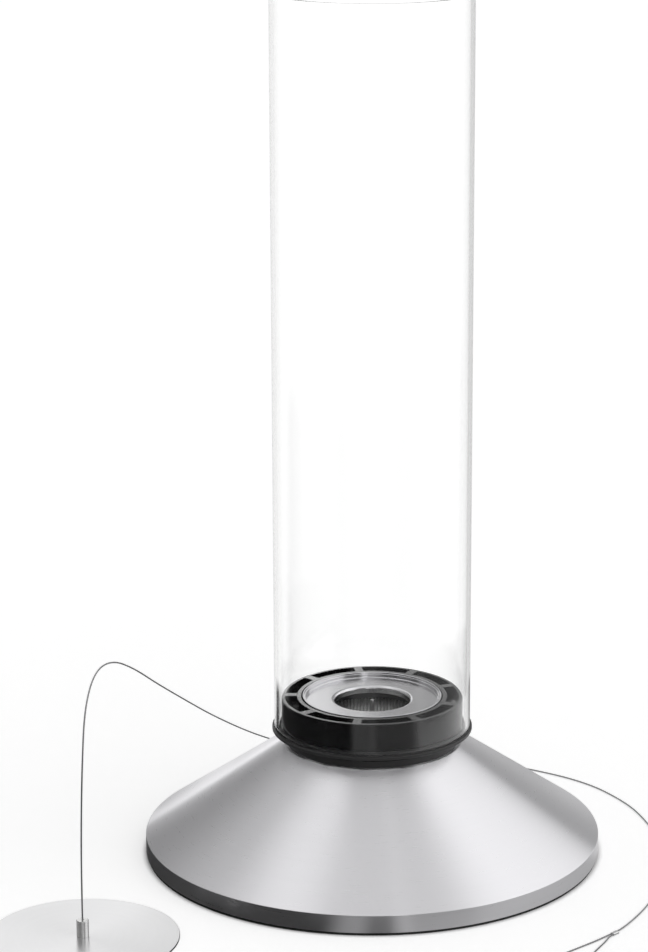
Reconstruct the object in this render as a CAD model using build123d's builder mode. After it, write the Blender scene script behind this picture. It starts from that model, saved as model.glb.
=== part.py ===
from build123d import *
import os
from math import atan2, cos, degrees, hypot, pi, radians, sin, tan

# Tabletop fireplace: a steel cone with a spirit burner in its middle, a black swirl ring round the
# burner, a tall open glass on a flange, and an extinguisher disc on a wire rope lying beside it.
# Millimetres, +Z up, origin on the table at the centre of the cone's foot, front at -Y.

# Overall sizes
base_radius = 137.5
cone_height = 57.4
glass_height = 439.2

# Cone and foot
foot_height = 1.6
rim_height = 10.6
sheet = 1.5
shelf_margin = 2.0
rim_edge_round = 0.5
foot_width = 5.2
foot_inset = 0.7

# Base plate, its brackets and screws
plate_thickness = 3.0
plate_gap = 0.3
tab_count = 6
tab_start = 30.0
tab_reach = 14.5
tab_width = 16.0
tab_thickness = 3.0
tab_leaf = 2.0
plate_screw_inset = 8.5
plate_screw_length = 7.2

# Screws
m4_radius = 2.0
m4_head_radius = 4.0
m4_head_depth = 2.1
m3_radius = 1.5
m3_head_radius = 2.9
m3_head_depth = 1.0
hex_socket = 2.5
hex_socket_depth = 0.8
thread_gap = 0.05
clearance_gap = 0.2

# Dish under the burner
dish_sheet = 1.5
dish_lip = 12.0
dish_gap = 0.8
dish_screw_count = 3
dish_screw_circle = 25.0
dish_screw_length = 4.0

# Burner
can_radius = 41.0
can_wall = 0.8
can_corner = 3.0
lid_sheet = 0.8
lid_fit = 0.1
lid_proud = 0.4
lid_skirt = 9.0
lid_sink = 3.0
mouth_radius = 22.6
mouth_depth = 4.0
mouth_round = 2.0
fleece_gap = 0.3
mesh_depth = 14.1
mesh_radius = 36.4
mesh_thickness = 0.6
mesh_pitch = 3.4
mesh_wire = 1.4
mesh_rim = 2.6
mesh_ring_width = 2.4
mesh_ring_height = 3.0
pin_radius = 1.25
pin_below_rim = 3.3
nut_flats = 5.5
nut_height = 2.4

# Swirl ring
burner_gap = 0.7
inner_ring_wall = 2.6
inner_ring_depth = 12.0
bay_width = 7.2
ring_wall = 2.1
ring_height = 18.7
ring_edge_round = 0.4
spoke_count = 9
spoke_start = 180.0
spoke_width = 5.0
spoke_depth = 4.0
vane_thickness = 1.8
vane_length = 11.0
vane_tilt = 35.0
boss_radius = 3.5

# Collar
neck_height = 7.6
neck_inset = 2.5
neck_wall = 2.5
flange_thickness = 2.0
flange_margin = 1.3
flange_round = 0.4
lip_gap = 0.5
lip_wall = 1.2
lip_height = 2.5
window_sill = 4.2
window_rib = 7.0
post_count = 3
post_radius = 3.6
post_bite = 1.4

# Glass and its gasket
glass_gap = 0.3
glass_wall = 2.5
glass_edge_round = 0.8
gasket_inset = 0.3
gasket_groove = 0.7
gasket_proud = 0.3
gasket_fit = 0.1

# Long screws through shelf, collar and ring
shelf_bore_gap = 2.1
stiffener_thickness = 2.0
stiffener_inset = 1.0
washer_radius = 4.0
washer_thickness = 1.0
pan_head_radius = 3.8
pan_head_height = 2.6
ring_screw_bite = 9.9
boss_end_gap = 1.0

# Extinguisher disc, ferrule and screw
disc_gap_in_glass = 1.5
disc_thickness = 1.2
disc_edge_round = 0.3
disc_gap_to_base = 23.4
disc_bearing = 220.5
ferrule_radius = 3.5
ferrule_height = 10.0
ferrule_chamfer = 0.4
ferrule_screw_length = 6.0

# Wire rope, its crimp sleeve and hand loop
rope_diameter = 1.0
rope_side = 0.05
sleeve_back = (139.86, -133.28)
sleeve_bearing = 227.0
sleeve_length = 5.0
sleeve_width = 2.9
sleeve_height = 1.7
sleeve_chamfer = 0.2
strand_gap = 0.5

# Levels, from the table up
rim_bottom_z = foot_height
rim_top_z = rim_bottom_z + rim_height
shelf_z = rim_top_z + cone_height
plate_top_z = rim_bottom_z + plate_thickness
dish_floor_z = plate_top_z + dish_sheet
flange_z = shelf_z + neck_height
seat_z = flange_z + flange_thickness
ring_top_z = seat_z + ring_height
burner_top_z = ring_top_z + lid_proud
glass_z = seat_z + gasket_proud
glass_top_z = glass_z + glass_height

# Radii, from the burner out
lid_radius = can_radius + lid_fit + lid_sheet
burner_bore = lid_radius + burner_gap
inner_ring_radius = burner_bore + inner_ring_wall
bay_radius = inner_ring_radius + bay_width
ring_radius = bay_radius + ring_wall
lip_bore = ring_radius + lip_gap
lip_radius = lip_bore + lip_wall
glass_bore = lip_radius + glass_gap
glass_radius = glass_bore + glass_wall
flange_radius = glass_radius + flange_margin
neck_radius = ring_radius - neck_inset
neck_bore = neck_radius - neck_wall
post_circle = neck_bore - post_radius + post_bite
shelf_bore = lid_radius + shelf_bore_gap
cone_top_radius = neck_radius + shelf_margin

# The cone's slope, and its inner face one sheet thickness inside
slope = atan2(shelf_z - rim_top_z, base_radius - cone_top_radius)
drop = sheet / cos(slope)
rim_bore = base_radius - sheet
inner_rim_z = rim_top_z + sheet * tan(slope) - drop
inner_top_radius = cone_top_radius - (drop - sheet) / tan(slope)


def band(inner, outer, bottom, top):
    """Half section of a plain turned ring, in the XZ sketch that is open."""
    with Locations(((inner + outer) / 2, (bottom + top) / 2)):
        Rectangle(outer - inner, top - bottom)


def circle_edges(part, radius):
    """The round edges of that radius."""
    return part.edges().filter_by(GeomType.CIRCLE).filter_by(lambda e: abs(e.radius - radius) < 0.01)


def countersunk_screw(face, radius, head_radius, head_depth, length):
    """A countersunk screw with a hex socket, its head's face at the location, standing into -Z."""
    with Locations(face):
        Cone(radius, head_radius, head_depth, align=(Align.CENTER, Align.CENTER, Align.MAX))
        Cylinder(radius - thread_gap, length, align=(Align.CENTER, Align.CENTER, Align.MAX))
        Cylinder(
            hex_socket / 2,
            hex_socket_depth,
            align=(Align.CENTER, Align.CENTER, Align.MAX),
            mode=Mode.SUBTRACT,
        )


def countersunk_hole(face, radius, head_radius, head_depth, depth):
    """The hole for that screw, through depth of metal."""
    with Locations(face):
        Cone(
            radius + clearance_gap,
            head_radius + clearance_gap,
            head_depth,
            align=(Align.CENTER, Align.CENTER, Align.MAX),
            mode=Mode.SUBTRACT,
        )
        Cylinder(
            radius + clearance_gap,
            depth,
            align=(Align.CENTER, Align.CENTER, Align.MAX),
            mode=Mode.SUBTRACT,
        )


# Spun cone: vertical rim, straight cone and flat shelf with a bore and three screw holes
with BuildPart() as cone_shell:
    with BuildSketch(Plane.XZ):
        with BuildLine():
            Polyline(
                (base_radius, rim_bottom_z),
                (base_radius, rim_top_z),
                (cone_top_radius, shelf_z),
                (shelf_bore, shelf_z),
                (shelf_bore, shelf_z - sheet),
                (inner_top_radius, shelf_z - sheet),
                (rim_bore, inner_rim_z),
                (rim_bore, rim_bottom_z),
                close=True,
            )
        make_face()
    revolve(axis=Axis.Z)
    rim_edge = circle_edges(cone_shell, base_radius).sort_by(Axis.Z)[-1]
    fillet(rim_edge, rim_edge_round)
    with PolarLocations(post_circle, post_count, start_angle=spoke_start):
        with Locations((0, 0, shelf_z)):
            Cylinder(m4_radius + clearance_gap, 2 * sheet, mode=Mode.SUBTRACT)

# Six brackets inside the rim: a flat foot with a threaded hole and an upright leaf on the rim wall
tab_circle = rim_bore - tab_reach / 2
plate_screw_circle = rim_bore - plate_screw_inset
tab_top_z = rim_top_z - sheet - plate_gap
with BuildPart() as rim_tabs:
    with PolarLocations(tab_circle, tab_count, start_angle=tab_start):
        with Locations((sheet, 0, plate_top_z)):
            Box(
                tab_reach + sheet,
                tab_width,
                tab_thickness,
                align=(Align.CENTER, Align.CENTER, Align.MIN),
            )
    with PolarLocations(rim_bore, tab_count, start_angle=tab_start):
        with Locations((0, 0, plate_top_z)):
            Box(
                2 * tab_leaf,
                tab_width,
                tab_top_z - plate_top_z,
                align=(Align.CENTER, Align.CENTER, Align.MIN),
            )
    with BuildSketch():
        Circle(rim_bore)
    extrude(amount=rim_top_z, mode=Mode.INTERSECT)
    with PolarLocations(plate_screw_circle, tab_count, start_angle=tab_start):
        with Locations((0, 0, plate_top_z)):
            Cylinder(m4_radius, 3 * tab_thickness, mode=Mode.SUBTRACT)

# Base plate, flush with the rim's lower edge
plate_radius = rim_bore - plate_gap
plate_face = Location((0, 0, rim_bottom_z), (180, 0, 0))
with BuildPart() as base_plate:
    with BuildSketch(Plane.XY.offset(rim_bottom_z)):
        Circle(plate_radius)
    extrude(amount=plate_thickness)
    with PolarLocations(plate_screw_circle, tab_count, start_angle=tab_start):
        countersunk_hole(plate_face, m4_radius, m4_head_radius, m4_head_depth, plate_thickness)
    with PolarLocations(dish_screw_circle, dish_screw_count, start_angle=spoke_start):
        with Locations((0, 0, plate_top_z)):
            Cylinder(m3_radius, 3 * plate_thickness, mode=Mode.SUBTRACT)

with BuildPart() as plate_screws:
    with PolarLocations(plate_screw_circle, tab_count, start_angle=tab_start):
        countersunk_screw(plate_face, m4_radius, m4_head_radius, m4_head_depth, plate_screw_length)

# Rubber ring under the joint of rim and plate
foot_radius = base_radius - foot_inset
with BuildPart() as foot_ring:
    with BuildSketch(Plane.XZ):
        band(foot_radius - foot_width, foot_radius, 0, foot_height)
    revolve(axis=Axis.Z)

# Dish that the burner stands in, screwed to the plate
dish_bore = can_radius + dish_gap
dish_face = Location((0, 0, dish_floor_z))
with BuildPart() as burner_dish:
    with BuildSketch(Plane.XZ):
        band(0, dish_bore + dish_sheet, plate_top_z, dish_floor_z)
        band(dish_bore, dish_bore + dish_sheet, plate_top_z, dish_floor_z + dish_lip)
    revolve(axis=Axis.Z)
    with PolarLocations(dish_screw_circle, dish_screw_count, start_angle=spoke_start):
        countersunk_hole(dish_face, m3_radius, m3_head_radius, m3_head_depth, dish_sheet)

with BuildPart() as dish_screws:
    with PolarLocations(dish_screw_circle, dish_screw_count, start_angle=spoke_start):
        countersunk_screw(dish_face, m3_radius, m3_head_radius, m3_head_depth, dish_screw_length)

# Ring under the shelf that spreads the load of the long screws
stiffener_z = shelf_z - sheet - stiffener_thickness
with BuildPart() as stiffening_ring:
    with BuildSketch(Plane.XZ):
        band(shelf_bore, inner_top_radius - stiffener_inset, stiffener_z, shelf_z - sheet)
    revolve(axis=Axis.Z)
    with PolarLocations(post_circle, post_count, start_angle=spoke_start):
        with Locations((0, 0, stiffener_z)):
            Cylinder(m4_radius + clearance_gap, 3 * stiffener_thickness, mode=Mode.SUBTRACT)

# Collar: neck with air windows, three screw posts, flange with gasket groove and centring lip
gasket_bore = glass_bore + gasket_inset
gasket_radius = glass_radius + gasket_inset
window_chord = 2 * pi * neck_radius / spoke_count - window_rib
window_start = spoke_start + 180 / spoke_count
with BuildPart() as collar:
    with BuildSketch(Plane.XZ):
        band(neck_bore, neck_radius, shelf_z, flange_z)
        band(neck_bore, flange_radius, flange_z, seat_z)
        band(lip_bore, lip_radius, seat_z, seat_z + lip_height)
    revolve(axis=Axis.Z)
    fillet(circle_edges(collar, flange_radius), flange_round)
    with PolarLocations(neck_radius, spoke_count, start_angle=window_start):
        with Locations((0, 0, shelf_z + window_sill)):
            Box(
                3 * neck_wall,
                window_chord,
                neck_height - window_sill,
                align=(Align.CENTER, Align.CENTER, Align.MIN),
                mode=Mode.SUBTRACT,
            )
    with PolarLocations(post_circle, post_count, start_angle=spoke_start):
        with Locations((0, 0, shelf_z)):
            Cylinder(
                post_radius,
                seat_z - shelf_z,
                align=(Align.CENTER, Align.CENTER, Align.MIN),
            )
            Cylinder(m4_radius + clearance_gap, 3 * (seat_z - shelf_z), mode=Mode.SUBTRACT)
    with BuildSketch(Plane.XZ):
        band(gasket_bore, gasket_radius, seat_z - gasket_groove, seat_z)
    revolve(axis=Axis.Z, mode=Mode.SUBTRACT)

with BuildPart() as glass_gasket:
    with BuildSketch(Plane.XZ):
        band(gasket_bore + gasket_fit, gasket_radius - gasket_fit, seat_z - gasket_groove, glass_z)
    revolve(axis=Axis.Z)

# Swirl ring: outer wall, inner ring and spokes, with a tilted vane under each spoke
spoke_circle = (inner_ring_radius + bay_radius) / 2
spoke_length = bay_width + ring_wall
vane_reach = bay_width + inner_ring_wall / 2 + ring_wall / 2
vane_circle = spoke_circle - inner_ring_wall / 4
boss_top_z = ring_top_z - spoke_depth
screw_top_z = seat_z + ring_screw_bite
with BuildPart() as swirl_ring:
    with BuildSketch(Plane.XZ):
        band(bay_radius, ring_radius, seat_z, ring_top_z)
        band(burner_bore, inner_ring_radius, ring_top_z - inner_ring_depth, ring_top_z)
    revolve(axis=Axis.Z)
    with PolarLocations(spoke_circle, spoke_count, start_angle=spoke_start):
        with Locations((0, 0, ring_top_z - spoke_depth / 2)):
            Box(spoke_length, spoke_width, spoke_depth)
    with PolarLocations(vane_circle, spoke_count, start_angle=spoke_start):
        with Locations(Location((0, 0, boss_top_z + vane_thickness), (vane_tilt, 0, 0))):
            Box(
                vane_reach,
                vane_thickness,
                vane_length,
                align=(Align.CENTER, Align.CENTER, Align.MAX),
            )
    with PolarLocations(post_circle, post_count, start_angle=spoke_start):
        with Locations((0, 0, seat_z)):
            Cylinder(
                boss_radius,
                boss_top_z - seat_z,
                align=(Align.CENTER, Align.CENTER, Align.MIN),
            )
            Cylinder(
                m4_radius,
                screw_top_z + boss_end_gap - seat_z,
                align=(Align.CENTER, Align.CENTER, Align.MIN),
                mode=Mode.SUBTRACT,
            )
    fillet(circle_edges(swirl_ring, ring_radius).sort_by(Axis.Z)[-1], ring_edge_round)
    fillet(circle_edges(swirl_ring, burner_bore).sort_by(Axis.Z)[-1], ring_edge_round)

with BuildPart() as ring_screws:
    with PolarLocations(post_circle, post_count, start_angle=spoke_start):
        with Locations((0, 0, stiffener_z - washer_thickness)):
            Cylinder(
                m4_radius - thread_gap,
                screw_top_z - stiffener_z + washer_thickness,
                align=(Align.CENTER, Align.CENTER, Align.MIN),
            )
            Cylinder(
                pan_head_radius,
                pan_head_height,
                align=(Align.CENTER, Align.CENTER, Align.MAX),
            )
        with Locations((0, 0, stiffener_z - washer_thickness - pan_head_height)):
            Cylinder(hex_socket / 2, 4 * hex_socket_depth, mode=Mode.SUBTRACT)

with BuildPart() as spring_washers:
    with PolarLocations(post_circle, post_count, start_angle=spoke_start):
        with Locations((0, 0, stiffener_z)):
            Cylinder(
                washer_radius,
                washer_thickness,
                align=(Align.CENTER, Align.CENTER, Align.MAX),
            )
            Cylinder(m4_radius + clearance_gap, 4 * washer_thickness, mode=Mode.SUBTRACT)

# Open glass tube with rounded ends
with BuildPart() as glass_tube:
    with BuildSketch(Plane.XZ):
        band(glass_bore, glass_radius, glass_z, glass_top_z)
    revolve(axis=Axis.Z)
    fillet(glass_tube.edges().filter_by(GeomType.CIRCLE), glass_edge_round)

# Burner can, drawn in one piece
bead_radius = can_wall / 2 + lid_fit + lid_sheet
bead_z = burner_top_z - bead_radius
can_bottom_z = dish_floor_z
with BuildPart() as burner_can:
    with BuildSketch(Plane.XZ):
        band(0, can_radius, can_bottom_z, bead_z)
    revolve(axis=Axis.Z)
    fillet(circle_edges(burner_can, can_radius).sort_by(Axis.Z)[0], can_corner)
    can_top = burner_can.faces().sort_by(Axis.Z)[-1]
    offset(amount=-can_wall, openings=can_top)

# Lid rolled over the can's edge, with a sunk ring plate and a turned-down mouth
bead_circle = can_radius - can_wall / 2
bead_bore = bead_radius - lid_sheet
plate_face_z = burner_top_z - lid_sink
mouth_bend_z = plate_face_z - mouth_round
mouth_bore_radius = mouth_radius + lid_sheet
mouth_inner_bend = mouth_round - lid_sheet
with BuildPart() as burner_lid:
    with BuildSketch(Plane.XZ):
        with BuildLine():
            CenterArc((bead_circle, bead_z), bead_radius, 0, 180)
            Polyline(
                (bead_circle - bead_radius, bead_z),
                (bead_circle - bead_radius, plate_face_z),
                (mouth_radius + mouth_round, plate_face_z),
            )
            CenterArc((mouth_radius + mouth_round, mouth_bend_z), mouth_round, 90, 90)
            Polyline(
                (mouth_radius, mouth_bend_z),
                (mouth_radius, plate_face_z - mouth_depth),
                (mouth_bore_radius, plate_face_z - mouth_depth),
                (mouth_bore_radius, mouth_bend_z),
            )
            CenterArc((mouth_radius + mouth_round, mouth_bend_z), mouth_inner_bend, 180, -90)
            Polyline(
                (mouth_radius + mouth_round, plate_face_z - lid_sheet),
                (bead_circle - bead_bore, plate_face_z - lid_sheet),
                (bead_circle - bead_bore, bead_z),
            )
            CenterArc((bead_circle, bead_z), bead_bore, 180, -180)
            Polyline(
                (bead_circle + bead_bore, bead_z),
                (bead_circle + bead_bore, bead_z - lid_skirt),
                (lid_radius, bead_z - lid_skirt),
                (lid_radius, bead_z),
            )
        make_face()
    revolve(axis=Axis.Z)

# Ceramic fleece, bored for the rod
fleece_bottom_z = can_bottom_z + can_wall
mesh_top_z = burner_top_z - mesh_depth
fleece_top_z = mesh_top_z - mesh_thickness
fleece_radius = can_radius - can_wall - fleece_gap
with BuildPart() as wick_fleece:
    with BuildSketch(Plane.XZ):
        band(pin_radius + fleece_gap, fleece_radius, fleece_bottom_z, fleece_top_z)
    revolve(axis=Axis.Z)
    fillet(circle_edges(wick_fleece, fleece_radius), can_corner)

# Wire mesh, a flat net with a plain patch under the nut
mesh_hole = mesh_pitch - mesh_wire
mesh_steps = int(mesh_radius / mesh_pitch)
mesh_points = [
    (column * mesh_pitch, row * mesh_pitch)
    for column in range(-mesh_steps, mesh_steps + 1)
    for row in range(-mesh_steps, mesh_steps + 1)
]
mesh_corner = mesh_hole / 2
mesh_points = [
    point
    for point in mesh_points
    if hypot(abs(point[0]) + mesh_corner, abs(point[1]) + mesh_corner) < mesh_radius - mesh_rim
    and hypot(*point) > nut_flats
]
with BuildPart() as mesh_screen:
    with BuildSketch(Plane.XY.offset(fleece_top_z)):
        Circle(mesh_radius)
        with Locations(*mesh_points):
            Rectangle(mesh_hole, mesh_hole, mode=Mode.SUBTRACT)
        Circle(pin_radius + thread_gap, mode=Mode.SUBTRACT)
    extrude(amount=mesh_thickness)

with BuildPart() as mesh_ring:
    with BuildSketch(Plane.XZ):
        band(mesh_radius - mesh_ring_width, mesh_radius, mesh_top_z, mesh_top_z + mesh_ring_height)
    revolve(axis=Axis.Z)

# Rod through fleece and mesh, and the nut on it
pin_top_z = burner_top_z - pin_below_rim
with BuildPart() as centre_pin:
    with BuildSketch(Plane.XY.offset(fleece_bottom_z)):
        Circle(pin_radius)
    extrude(amount=pin_top_z - fleece_bottom_z)
    chamfer(centre_pin.faces().sort_by(Axis.Z)[-1].edges(), pin_radius / 5)

with BuildPart() as pin_nut:
    with BuildSketch(Plane.XY.offset(mesh_top_z)):
        RegularPolygon(nut_flats / 2, 6, major_radius=False)
        Circle(pin_radius + thread_gap, mode=Mode.SUBTRACT)
    extrude(amount=nut_height)

# Extinguisher disc lying beside the base, small enough to go down the glass
disc_radius = glass_bore - disc_gap_in_glass
disc_distance = base_radius + disc_gap_to_base + disc_radius
disc_x = disc_distance * cos(radians(disc_bearing))
disc_y = disc_distance * sin(radians(disc_bearing))
disc_face = Location((disc_x, disc_y, 0), (180, 0, 0))
with BuildPart() as extinguisher_disc:
    with BuildSketch(Plane.XY):
        with Locations((disc_x, disc_y)):
            Circle(disc_radius)
    extrude(amount=disc_thickness)
    fillet(circle_edges(extinguisher_disc, disc_radius), disc_edge_round)
    countersunk_hole(disc_face, m3_radius, m3_head_radius, m3_head_depth, 2 * disc_thickness)

with BuildPart() as ferrule_screw:
    countersunk_screw(disc_face, m3_radius, m3_head_radius, m3_head_depth, ferrule_screw_length)

ferrule_top_z = disc_thickness + ferrule_height
with BuildPart() as rope_ferrule:
    with Locations((disc_x, disc_y, disc_thickness)):
        Cylinder(
            ferrule_radius,
            ferrule_height,
            align=(Align.CENTER, Align.CENTER, Align.MIN),
        )
        Cylinder(
            m3_radius,
            ferrule_screw_length,
            align=(Align.CENTER, Align.CENTER, Align.MIN),
            mode=Mode.SUBTRACT,
        )
    chamfer(circle_edges(rope_ferrule, ferrule_radius), ferrule_chamfer)

# Wire rope: it springs up from the ferrule, arches back to the table and runs round behind the base.
# The sleeve and the loop lie at its end, in front to the right.
rope_z = rope_diameter / 2 + rope_side
sleeve_z = sleeve_height / 2
along = Vector(cos(radians(sleeve_bearing)), sin(radians(sleeve_bearing)), 0)
across = Vector(along.Y, -along.X, 0)
sleeve_start = Vector(sleeve_back[0], sleeve_back[1], sleeve_z)
sleeve_end = sleeve_start + along * sleeve_length
strand = (rope_diameter + strand_gap) / 2
rope_end = sleeve_start + across * strand

rope_route = [
    (disc_x, disc_y, ferrule_top_z),
    (disc_x, disc_y, 38),
    (-163.5, -139.5, 72),
    (-162.5, -135.5, 105),
    (-161.5, -123.5, 132.5),
    (-157.5, -101.5, 146.5),
    (-150, -71, 143),
    (-140.5, -35, 126),
    (-130, 5, 103),
    (-117, 46.5, 79),
    (-100.5, 87, 53.5),
    (-76, 122.5, 28.5),
    (-49.5, 150.5, 10),
    (-17, 165, 0.8),
    (19.5, 165.5, rope_z),
    (58, 154, rope_z),
    (96, 138, rope_z),
    (137.4, 110, rope_z),
    (160.7, 73, rope_z),
    (170.5, 42.5, rope_z),
    (178, -0.5, rope_z),
    (175.7, -50, rope_z),
    (162.7, -87.7, rope_z),
    (154.6, -107, 0.6),
    tuple(rope_end - along * 5),
    tuple(rope_end),
]

# The loop's route in the sleeve's own directions: along it, across it, and down from its middle
rest = sleeve_z - rope_z
loop_plan = [
    (0, strand, 0),
    (7, strand, 0),
    (15, 1.3, rest),
    (25, 2.1, rest),
    (38, 3.0, rest),
    (51, 4.2, rest),
    (62, 2.6, rest),
    (69, -3, rest),
    (69.5, -11, rest),
    (63, -17.5, rest),
    (52, -18.2, rest),
    (40, -14, rest),
    (27, -8.2, rest),
    (10, -3.4, rest),
    (3.5, -strand, 0),
    (0, -strand, 0),
]
loop_route = [
    tuple(sleeve_end + along * u + across * v - Vector(0, 0, w))
    for u, v, w in loop_plan
]


def bend_radii(name, route):
    """One radius for each corner of the route, as large as its two runs allow."""
    radii = []
    for before, corner, after in zip(route, route[1:], route[2:]):
        into = Vector(*corner) - Vector(*before)
        out = Vector(*after) - Vector(*corner)
        half_turn = radians(into.get_angle(out)) / 2
        radii.append(0.45 * min(into.length, out.length) / tan(half_turn))
    print(name, "bend radii", [round(radius) for radius in radii])
    return radii


def print_volume(name, part, length):
    """The tube's volume beside its section times its length."""
    section = pi * rope_diameter**2 / 4
    print(name, "length", round(length, 1), "volume", round(part.volume, 1), "of", round(section * length, 1))


def print_least_gap(name, path):
    """The least gap between two stretches of the tube, measured on points 1 mm apart."""
    count = round(path.length)
    points = [path @ (step / count) for step in range(count + 1)]
    apart = round(10 * rope_diameter)
    gaps = [
        (points[one] - points[other]).length - rope_diameter
        for one in range(count + 1)
        for other in range(one + apart, count + 1)
    ]
    print(name, "least gap to itself", round(min(gaps), 2))


with BuildPart() as wire_rope:
    with BuildLine() as rope_line:
        FilletPolyline(*rope_route, radius=bend_radii("wire rope", rope_route))
    with BuildSketch(Plane(rope_route[0], z_dir=(0, 0, 1))):
        Circle(rope_diameter / 2)
    sweep(path=rope_line.wire())
print_volume("wire rope", wire_rope.part, rope_line.wire().length)

with BuildPart() as rope_loop:
    with BuildLine() as loop_line:
        FilletPolyline(*loop_route, radius=bend_radii("rope loop", loop_route))
    with BuildSketch(Plane(loop_line.wire() @ 0, z_dir=loop_line.wire() % 0)):
        Circle(rope_diameter / 2)
    sweep(path=loop_line.wire())
print_volume("rope loop", rope_loop.part, loop_line.wire().length)
print_least_gap("rope loop", loop_line.wire())

# Flat oval sleeve, crimped over the rope and its returning end
with BuildPart() as crimp_sleeve:
    with BuildSketch(Plane(sleeve_start, x_dir=across, z_dir=along)):
        SlotOverall(sleeve_width, sleeve_height)
    extrude(amount=sleeve_length)
    sleeve_faces = crimp_sleeve.faces().filter_by(Plane(sleeve_start, z_dir=along))
    chamfer(sleeve_faces.edges(), sleeve_chamfer)

pieces = {
    "cone_shell": cone_shell,
    "rim_tabs": rim_tabs,
    "base_plate": base_plate,
    "plate_screws": plate_screws,
    "foot_ring": foot_ring,
    "burner_dish": burner_dish,
    "dish_screws": dish_screws,
    "stiffening_ring": stiffening_ring,
    "collar": collar,
    "glass_gasket": glass_gasket,
    "swirl_ring": swirl_ring,
    "ring_screws": ring_screws,
    "spring_washers": spring_washers,
    "glass_tube": glass_tube,
    "burner_can": burner_can,
    "burner_lid": burner_lid,
    "wick_fleece": wick_fleece,
    "mesh_screen": mesh_screen,
    "mesh_ring": mesh_ring,
    "centre_pin": centre_pin,
    "pin_nut": pin_nut,
    "extinguisher_disc": extinguisher_disc,
    "ferrule_screw": ferrule_screw,
    "rope_ferrule": rope_ferrule,
    "wire_rope": wire_rope,
    "rope_loop": rope_loop,
    "crimp_sleeve": crimp_sleeve,
}

os.makedirs("parts", exist_ok=True)
for name, piece in pieces.items():
    piece.part.label = name
    export_step(piece.part, f"parts/{name}.step")
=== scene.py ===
"""Looks of the tabletop fireplace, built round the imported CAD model.

A brushed steel cone carries a black collar and swirl ring, an open glass tube and a lift-out
burner. An extinguisher disc on a wire rope lies beside it. Sizes are in metres, in the frame
of the CAD: the table is z = 0, the tube's axis is x = y = 0 and the front is -y.
"""

import logging
import math
from dataclasses import dataclass, field
from enum import Enum

import bpy
import numpy as np
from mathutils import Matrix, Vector

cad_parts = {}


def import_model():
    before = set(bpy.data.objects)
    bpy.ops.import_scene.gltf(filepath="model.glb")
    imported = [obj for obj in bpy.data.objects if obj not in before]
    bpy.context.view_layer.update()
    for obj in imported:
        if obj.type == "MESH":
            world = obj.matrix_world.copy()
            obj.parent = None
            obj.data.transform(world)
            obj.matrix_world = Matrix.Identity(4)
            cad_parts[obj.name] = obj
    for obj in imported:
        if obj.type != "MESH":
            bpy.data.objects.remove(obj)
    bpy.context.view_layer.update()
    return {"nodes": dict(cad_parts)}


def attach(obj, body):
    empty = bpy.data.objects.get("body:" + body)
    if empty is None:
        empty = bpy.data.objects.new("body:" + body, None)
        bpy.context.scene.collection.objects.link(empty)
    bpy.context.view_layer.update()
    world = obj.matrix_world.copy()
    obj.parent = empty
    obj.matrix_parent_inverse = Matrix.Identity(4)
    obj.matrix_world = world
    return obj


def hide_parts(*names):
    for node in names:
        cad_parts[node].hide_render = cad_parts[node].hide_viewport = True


MM = 0.001
TURN = 2 * math.pi

Point = tuple[float, float, float]
Colour = tuple[float, float, float]
Corner = tuple[float, float, float]
Profile = list[tuple[float, float]]
Faces = list[tuple[int, ...]]
Socket = bpy.types.NodeSocket
Value = Socket | float | tuple[float, ...]

log = logging.getLogger("fireplace")


# Meshes


def rounded(corners: list[Corner], steps: int = 6) -> Profile:
    """Rounds the corners of a closed outline.

    Args:
        corners: Across, up and corner radius of each corner, in order.
        steps: Straight steps in each rounded corner.

    Returns:
        The outline's points, without a repeated last one.
    """
    points: Profile = []
    for index, (across, up, radius) in enumerate(corners):
        here = np.array((across, up))
        if radius <= 0:
            points.append((across, up))
            continue
        before = np.array(corners[index - 1][:2]) - here
        after = np.array(corners[(index + 1) % len(corners)][:2]) - here
        before /= np.linalg.norm(before)
        after /= np.linalg.norm(after)
        half = math.acos(np.clip(before @ after, -1, 1)) / 2
        middle = (before + after) / np.linalg.norm(before + after)
        centre = here + middle * radius / math.sin(half)
        start = here + before * radius / math.tan(half) - centre
        end = here + after * radius / math.tan(half) - centre
        turn = math.atan2(start[0] * end[1] - start[1] * end[0], start @ end)
        for step in range(steps + 1):
            angle = turn * step / steps
            c, s = math.cos(angle), math.sin(angle)
            points.append(tuple(centre + (start[0] * c - start[1] * s, start[0] * s + start[1] * c)))
    return points


def make_object(name: str, vertices: np.ndarray, faces: Faces, sharp: float = 35) -> bpy.types.Object:
    """Makes a smooth-shaded mesh object with its normals outwards.

    Args:
        name: The piece's name.
        vertices: One row of three numbers for each vertex.
        faces: The vertex numbers of each face.
        sharp: Edges that turn by more degrees than this stay sharp.

    Returns:
        The new object, linked to the scene.
    """
    mesh = bpy.data.meshes.new(name)
    mesh.from_pydata(np.asarray(vertices, float).tolist(), [], faces)
    mesh.validate()
    mesh.update()
    mesh.shade_smooth()
    mesh.set_sharp_from_angle(angle=math.radians(sharp))
    made = bpy.data.objects.new(name, mesh)
    bpy.context.scene.collection.objects.link(made)
    return made


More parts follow.
